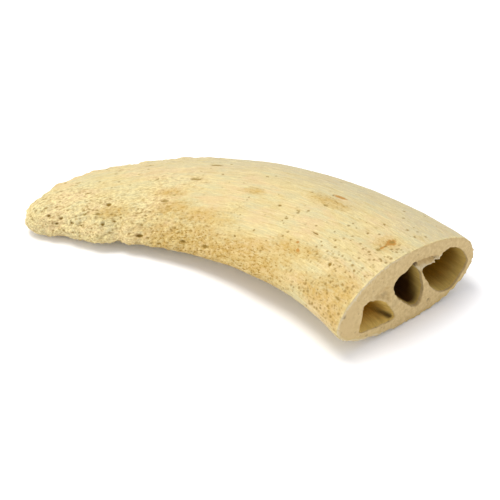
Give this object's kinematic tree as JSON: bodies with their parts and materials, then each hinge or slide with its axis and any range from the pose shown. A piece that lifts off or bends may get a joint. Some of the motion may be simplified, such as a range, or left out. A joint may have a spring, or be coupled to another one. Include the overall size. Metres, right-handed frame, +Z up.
{
  "type": "water buffalo horn core",
  "caption": "Curved, flattened bone core of a horn, sawn off near the skull with open sinus chambers in the cut face; lies flat for display or as a natural prop.",
  "frame": {"origin": "under the centre of the bounding box, on the surface the bone lies on", "axes": "+X out of the sawn end, the tip towards -X with the horn's inner curve facing -Y, +Z up"},
  "size_m": [0.1834, 0.1422, 0.0426],
  "materials": {
    "bone": "matte, dry and porous"
  },
  "bodies": {
    "root": {"horn_core": "bone"}
  },
  "joints": []
}
